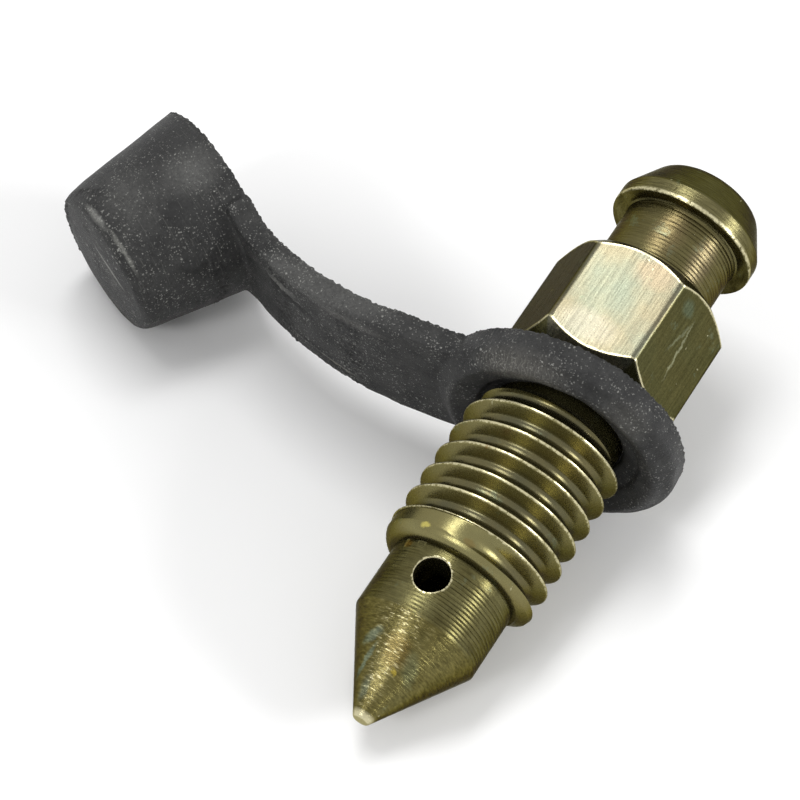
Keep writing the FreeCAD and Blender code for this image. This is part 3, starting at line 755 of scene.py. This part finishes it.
def chromatePlatedSteel():
    material, tree, shader = newMaterial("chromatePlatedSteel")
    where = screwPlaces(tree)
    noises = {}
    for name, (perMillimetre, detail, roughness) in platePatterns.items():
        scaled = addNode(tree, "Mapping", {"Scale": perMillimetre}, {"Vector": where["own"]})
        noises[name] = addNode(tree, "TexNoise", {"Scale": 1, "Detail": detail, "Roughness": roughness},
                               {"Vector": scaled.outputs[0]}).outputs
    zones = {}
    for name, (low, high, edge) in plateZones.items():
        rise = addNode(tree, "MapRange", {"From Min": low - edge, "From Max": low + edge},
                       {"Value": where["along"]})
        drop = addNode(tree, "MapRange", {"From Min": high + edge, "From Max": high - edge},
                       {"Value": where["along"]})
        zones[name] = addNode(tree, "Math", {"operation": "MULTIPLY"},
                              {0: rise.outputs[0], 1: drop.outputs[0]}).outputs[0]

    jitter = addNode(tree, "VectorMath", {"operation": "MULTIPLY_ADD", 1: (0.5, 0.5, 0),
                                          2: (-0.25, -0.25, 0)}, {0: noises["rag"]["Color"]})
    ragged = addNode(tree, "VectorMath", {"operation": "ADD"},
                     {0: where["unrolled"], 1: jitter.outputs[0]}).outputs[0]
    colour = plateFilmAndPaintedShade(tree, where, noises, zones)
    colour = plateMarks(tree, ragged, noises, zones, colour)
    rubbedAndGlints = addNode(tree, "Math", {"operation": "MULTIPLY", 1: 0.85},
                     {0: rubbedPlacesAndGlints(tree, where, noises, zones)})
    # bare metal where the film is rubbed off, and painted glints on the cone, in one pale colour
    colour = addNode(tree, "Mix", {"data_type": "RGBA", 7: "CEC7A2"},
                     {0: rubbedAndGlints.outputs[0], 6: colour}).outputs[2]

    # scattered nicks through the film, in some of the cells, which are 0.45 mm wide
    nicks = addNode(tree, "TexVoronoi", {"Scale": 2.2}, {"Vector": ragged})
    chosen = addNode(tree, "SeparateColor", None, {"Color": nicks.outputs["Color"]})
    nickSize = addNode(tree, "MapRange", {"From Min": 0.72, "From Max": 1, "To Max": 0.13},
                       {"Value": chosen.outputs[0]})
    nick = addNode(tree, "Math", {"operation": "LESS_THAN"},
                   {0: nicks.outputs["Distance"], 1: nickSize.outputs[0]})
    nickShare = addNode(tree, "Math", {"operation": "MULTIPLY", 1: 0.6}, {0: nick.outputs[0]})
    colour = addNode(tree, "Mix", {"data_type": "RGBA", 7: "B9B591"},
                     {0: nickShare.outputs[0], 6: colour}).outputs[2]
    tree.links.new(colour, shader.inputs["Base Color"])

    roughness = addNode(tree, "MapRange", {"From Min": 0.3, "From Max": 0.7, "To Min": 0.22, "To Max": 0.33},
                        {"Value": noises["grit"][0]})
    smoother = addNode(tree, "Math", {"operation": "MULTIPLY_ADD", 1: -0.08},
                       {0: zones["cone"], 2: roughness.outputs[0]})
    tree.links.new(smoother.outputs[0], shader.inputs["Roughness"])
    shader.inputs["Metallic"].default_value = 0.92
    shader.inputs["Specular Tint"].default_value = fromHex("8E8A6E")

    # relief: grit everywhere, streaks on turned parts, nicks sunk
    relief = addNode(tree, "Math", {"operation": "MULTIPLY", 1: 0.25}, {0: noises["grit"][0]}).outputs[0]
    for noise, zone, amount in (("scratches", "cone", 2.6), ("streaks", "shank", 0.6),
                                ("streaks", "neck", 1.0), ("streaks", "bead", 0.9),
                                ("streaks", "head", 0.6), ("scores", "hexagon", 0.5)):
        weight = addNode(tree, "Math", {"operation": "MULTIPLY", 1: amount}, {0: zones[zone]})
        relief = addNode(tree, "Math", {"operation": "MULTIPLY_ADD"},
                         {0: noises[noise][0], 1: weight.outputs[0], 2: relief}).outputs[0]
    relief = addNode(tree, "Math", {"operation": "MULTIPLY_ADD", 1: -0.8},
                     {0: nick.outputs[0], 2: relief}).outputs[0]
    bump = addNode(tree, "Bump", {"Strength": 0.6, "Distance": 0.03 * millimetre}, {"Height": relief})
    tree.links.new(bump.outputs[0], shader.inputs["Normal"])
    return material


# moulded black rubber, matt from the mould, scuffed and dusty: a grey bloom with white specks, and painted
# sheen, shade and highlights among the marks of strap and cup

# marks of ring and strap, some of them painted shade and highlights, in the ring's own millimetres: middle,
# radii, turn, colour, strength, soft share
ringMarksAndPaintedLight = (
    ((1.3, 4.9, -1.6), (2.6, 1.5, 1), -10, "5A5853", 0.55, 0.7),
    ((-3.4, 3.4, -1.6), (2.2, 1.6, 1), -45, "4B4A46", 0.5, 0.7),
    # painted shade: near black in the notch where the strap meets the ring
    ((5.42, 2.9, -0.75), (0.24, 0.42, 0.85), 0, "070707", 1.0, 0.3),
    # painted shade in the fold along the first crease, and a painted highlight on the bulge beside it
    ((14.35, 1.2, -0.3), (1.7, 0.07, 1.6), 12.5, "141414", 0.95, 0.3),
    ((14.8, 1.85, -0.1), (1.3, 0.3, 1.6), 3, "6C6C68", 0.5, 0.7),
    ((12.0, -2.05, -0.8), (1.7, 0.06, 1.6), 9, "74726A", 0.6, 0.4),
    ((13.3, -1.62, -0.5), (1.5, 0.06, 1.6), 7, "1C1C1C", 0.6, 0.4),
    ((10.6, 2.55, -1.0), (2.8, 0.35, 1.2), 0, "5C5B58", 0.45, 0.7),
    ((10.8, 1.5, -1.0), (1.3, 0.4, 1.2), 5, "252525", 0.6, 0.7),
    ((12.5, 2.95, -0.2), (6.5, 0.5, 1.4), 0, "555553", 0.5, 0.5),
)

# marks of the cup in its own millimetres, from the middle of its mouth: a painted sheen band with painted
# shade beside it, painted highlights on the closed end's rim, and a scuff
cupMarksAndPaintedLight = (
    # a painted sheen band along the cup where the lamps reflect, with painted shade on both sides of it
    ((-1.0, 4.5, -1.6), (1.5, 2.0, 1.9), 0, "565654", 0.6, 0.8),
    ((-0.2, 3.7, -4.6), (2.2, 2.0, 1.6), 0, "4F4F4D", 0.4, 0.8),
    ((1.4, 4.3, -2.0), (1.3, 2.0, 2.6), 0, "161616", 0.75, 0.8),
    ((-3.3, 3.2, -2.6), (1.9, 2.0, 2.2), 0, "141414", 0.8, 0.8),
    # painted highlight along the closed end's rim
    ((0.0, 3.72, -6.45), (1.1, 0.7, 0.22), 0, "7A7A76", 0.7, 0.7),
    ((-1.3, 1.3, -6.95), (1.6, 0.16, 0.5), 30, "84847E", 0.7, 0.6),
    # painted highlight along the closed end's rim
    ((-2.2, 3.2, -6.3), (1.6, 1.6, 0.14), 30, "74746F", 0.65, 0.7),
)


def mouldedRubber():
    material, tree, shader = newMaterial("mouldedRubber")
    own = ownMillimetres(tree, capPlace)
    toMetres = Matrix.Scale(millimetre, 4)
    ownCup = ownMillimetres(tree, capPlace @ toMetres @ cupFrame() @ toMetres.inverted())

    # mottle 1.3 mm wide under marks whose edges are ragged by 0.3 mm
    mottle = addNode(tree, "TexNoise", {"Scale": 0.75, "Detail": 9, "Roughness": 0.72}, {"Vector": own})
    mottleShare = addNode(tree, "MapRange", {"From Min": 0.38, "From Max": 0.64},
                          {"Value": mottle.outputs[0]})
    colour = addNode(tree, "Mix", {"data_type": "RGBA", 6: "101010", 7: "2C2C2B"},
                     {0: mottleShare.outputs[0]}).outputs[2]
    jitter = addNode(tree, "TexNoise", {"Scale": 3, "Detail": 5, "Roughness": 0.75}, {"Vector": own})
    shift = addNode(tree, "VectorMath", {"operation": "MULTIPLY_ADD", 1: (0.3,) * 3, 2: (-0.15,) * 3},
                    {0: jitter.outputs["Color"]})
    ragged = addNode(tree, "VectorMath", {"operation": "ADD"}, {0: own, 1: shift.outputs[0]})
    raggedCup = addNode(tree, "VectorMath", {"operation": "ADD"}, {0: ownCup, 1: shift.outputs[0]})
    # the marks of ring and cup include painted shade, sheen and highlights
    colour = layPatches(tree, ragged.outputs[0], colour, ringMarksAndPaintedLight)
    colour = layPatches(tree, raggedCup.outputs[0], colour, cupMarksAndPaintedLight)

    # grain of the mould's skin, a seventh of a millimetre
    grain = addNode(tree, "TexNoise", {"Scale": 7, "Detail": 6, "Roughness": 0.82}, {"Vector": own})
    swing = addNode(tree, "MapRange", {"From Min": 0.36, "From Max": 0.66, "To Min": 0.62, "To Max": 1.6},
                    {"Value": grain.outputs[0]})
    colour = addNode(tree, "Mix", {"data_type": "RGBA", "blend_type": "MULTIPLY", 0: 1.0},
                     {6: colour, 7: swing.outputs[0]}).outputs[2]

    # scuffs round the cup, fine and short: a fourteenth of a millimetre wide
    roundWay = addNode(tree, "Mapping", {"Scale": (0.7, 0.7, 14)}, {"Vector": ownCup})
    scuffs = addNode(tree, "TexNoise", {"Scale": 1, "Detail": 4, "Roughness": 0.7},
                     {"Vector": roundWay.outputs[0]})
    scuffShare = addNode(tree, "MapRange", {"From Min": 0.6, "From Max": 0.72, "To Max": 0.3},
                         {"Value": scuffs.outputs[0]})
    flatCup = addNode(tree, "VectorMath", {"operation": "MULTIPLY", 1: (1, 1, 0)}, {0: ownCup})
    fromAxis = addNode(tree, "VectorMath", {"operation": "LENGTH"}, {0: flatCup.outputs[0]})
    onCup = addNode(tree, "MapRange", {"From Min": 5.2, "From Max": 4.8},
                    {"Value": fromAxis.outputs["Value"]})
    cupScuffs = addNode(tree, "Math", {"operation": "MULTIPLY"},
                        {0: scuffShare.outputs[0], 1: onCup.outputs[0]})

    # wavy scuff lines on the ring's front face
    waves = addNode(tree, "TexWave", {"Scale": 1.5, "Distortion": 9, "Detail": 2, "Detail Scale": 2.4},
                    {"Vector": own})
    waveLine = addNode(tree, "MapRange", {"From Min": 0.72, "From Max": 0.95, "To Max": 0.55},
                       {"Value": waves.outputs["Fac"]})
    spot = addNode(tree, "Mapping", {"vector_type": "TEXTURE", "Location": (1.2, 4.7, -1.6),
                                     "Scale": (3.0, 1.3, 0.6)}, {"Vector": own})
    spotShare = addNode(tree, "TexGradient", {"gradient_type": "SPHERICAL"}, {"Vector": spot.outputs[0]})
    waveScuffs = addNode(tree, "Math", {"operation": "MULTIPLY"},
                         {0: waveLine.outputs[0], 1: spotShare.outputs["Fac"]})
    for scuff, tint in ((cupScuffs, "84847E"), (waveScuffs, "8F8D85")):
        colour = addNode(tree, "Mix", {"data_type": "RGBA", 7: tint},
                         {0: scuff.outputs[0], 6: colour}).outputs[2]

    # dust: dots in some of the cells of three patterns, 0.1 to 0.4 mm wide, more of them in drifts
    drift = addNode(tree, "TexNoise", {"Scale": 0.6, "Detail": 3}, {"Vector": own})
    driftShift = addNode(tree, "Math", {"operation": "MULTIPLY_ADD", 1: 0.7, 2: -0.35}, {0: drift.outputs[0]})
    for scale, least, size, strength in ((11, 0.5, 0.5, 0.3), (6, 0.68, 0.34, 0.42), (2.8, 0.9, 0.15, 0.6)):
        cells = addNode(tree, "TexVoronoi", {"Scale": scale}, {"Vector": ragged.outputs[0]})
        lot = addNode(tree, "SeparateColor", None, {"Color": cells.outputs["Color"]})
        picked = addNode(tree, "Math", {"operation": "ADD"}, {0: lot.outputs[0], 1: driftShift.outputs[0]})
        dotSize = addNode(tree, "MapRange", {"From Min": least, "From Max": 1, "To Max": size},
                          {"Value": picked.outputs[0]})
        fromDot = addNode(tree, "Math", {"operation": "SUBTRACT"},
                          {0: dotSize.outputs[0], 1: cells.outputs["Distance"]})
        speck = addNode(tree, "MapRange", {"From Max": size * 0.3, "To Max": strength},
                        {"Value": fromDot.outputs[0]})
        colour = addNode(tree, "Mix", {"data_type": "RGBA", 7: "B2B2AC"},
                         {0: speck.outputs[0], 6: colour}).outputs[2]
    tree.links.new(colour, shader.inputs["Base Color"])
    shader.inputs["Roughness"].default_value = 0.6
    shader.inputs["Specular IOR Level"].default_value = 0.34
    bump = addNode(tree, "Bump", {"Strength": 0.7, "Distance": 0.06 * millimetre},
                   {"Height": grain.outputs[0]})
    tree.links.new(bump.outputs[0], shader.inputs["Normal"])
    return material


# matt white paper sweep under the object
def paperSweep():
    material, tree, shader = newMaterial("paperSweep")
    shader.inputs["Base Color"].default_value = fromHex("F8F8F8")
    shader.inputs["Roughness"].default_value = 0.9
    return material


core.name = "bleederScrewBody"
settle(core, screwPlace, "screw", "bleeder_screw", chromatePlatedSteel())
bpy.ops.object.shade_smooth_by_angle(angle=math.radians(28))
cap.name = "dustCapBody"
settle(cap, capPlace, "cap", "dust_cap", mouldedRubber())
bpy.ops.object.shade_smooth()
report("materials made")


# camera, floor and light

view = {"place": (0.00068182, -0.08902351, 0.11147045), "turn": (39.82976, -4.54925, 5.43285), "lens": 135}

cameraData = bpy.data.cameras.new("camera")
cameraData.lens = view["lens"]
cameraData.sensor_width = 36
cameraData.clip_start = 0.005
camera = bpy.data.objects.new("camera", cameraData)
camera.location = view["place"]
camera.rotation_euler = [math.radians(v) for v in view["turn"]]
bpy.context.collection.objects.link(camera)
bpy.context.scene.camera = camera

# softboxes with their long side along the screw: toward, width and length in metres, radiance
lampDistance = 1.2
softboxes = {"overhead": {"toward": (-0.2, 0.25, 0.945), "size": (0.3, 0.8), "radiance": 8.4},
             "right": {"toward": (0.88, -0.14, 0.45), "size": (0.2, 0.64), "radiance": 18},
             "frontLeft": {"toward": (-0.55, -0.62, 0.55), "size": (0.28, 0.28), "radiance": 14}}
aim = Vector((0.003, 0, 0.006))
for name, box in softboxes.items():
    lampData = bpy.data.lights.new(name, "AREA")
    lampData.shape = "RECTANGLE"
    lampData.size, lampData.size_y = box["size"]
    lampData.energy = box["radiance"] * math.pi * box["size"][0] * box["size"][1]
    lamp = bpy.data.objects.new(name, lampData)
    away = Vector(box["toward"]).normalized()
    length = (axis - away * axis.dot(away)).normalized()
    lamp.matrix_world = Matrix.Translation(aim + away * lampDistance) @ Matrix(
        (length.cross(away), length, away)).transposed().to_4x4()
    bpy.context.collection.objects.link(lamp)

world = bpy.data.worlds.new("studio")
bpy.context.scene.world = world
world.use_nodes = True
tree = world.node_tree
tree.nodes.clear()
path = addNode(tree, "LightPath")
seen = addNode(tree, "Math", {"operation": "MAXIMUM"},
               {0: path.outputs["Is Camera Ray"], 1: path.outputs["Is Glossy Ray"]})
shown = addNode(tree, "Math", {"operation": "MAXIMUM"},
                {0: seen.outputs[0], 1: path.outputs["Is Transmission Ray"]})
fill = addNode(tree, "Background", {"Color": (1, 1, 1, 1), "Strength": 0.5})
white = addNode(tree, "Background", {"Color": (1, 1, 1, 1), "Strength": 1})
sky = addNode(tree, "MixShader", None, {0: shown.outputs[0], 1: fill.outputs[0], 2: white.outputs[0]})
addNode(tree, "OutputWorld", None, {"Surface": sky.outputs[0]})

deselectAll()
bpy.ops.mesh.primitive_plane_add(size=1.2, location=(0, 0, -0.00002))
floor = bpy.context.object
floor.name = "floor"
floor.data.materials.append(paperSweep())

bpy.context.scene.view_settings.view_transform = "Standard"
report("studio lit")
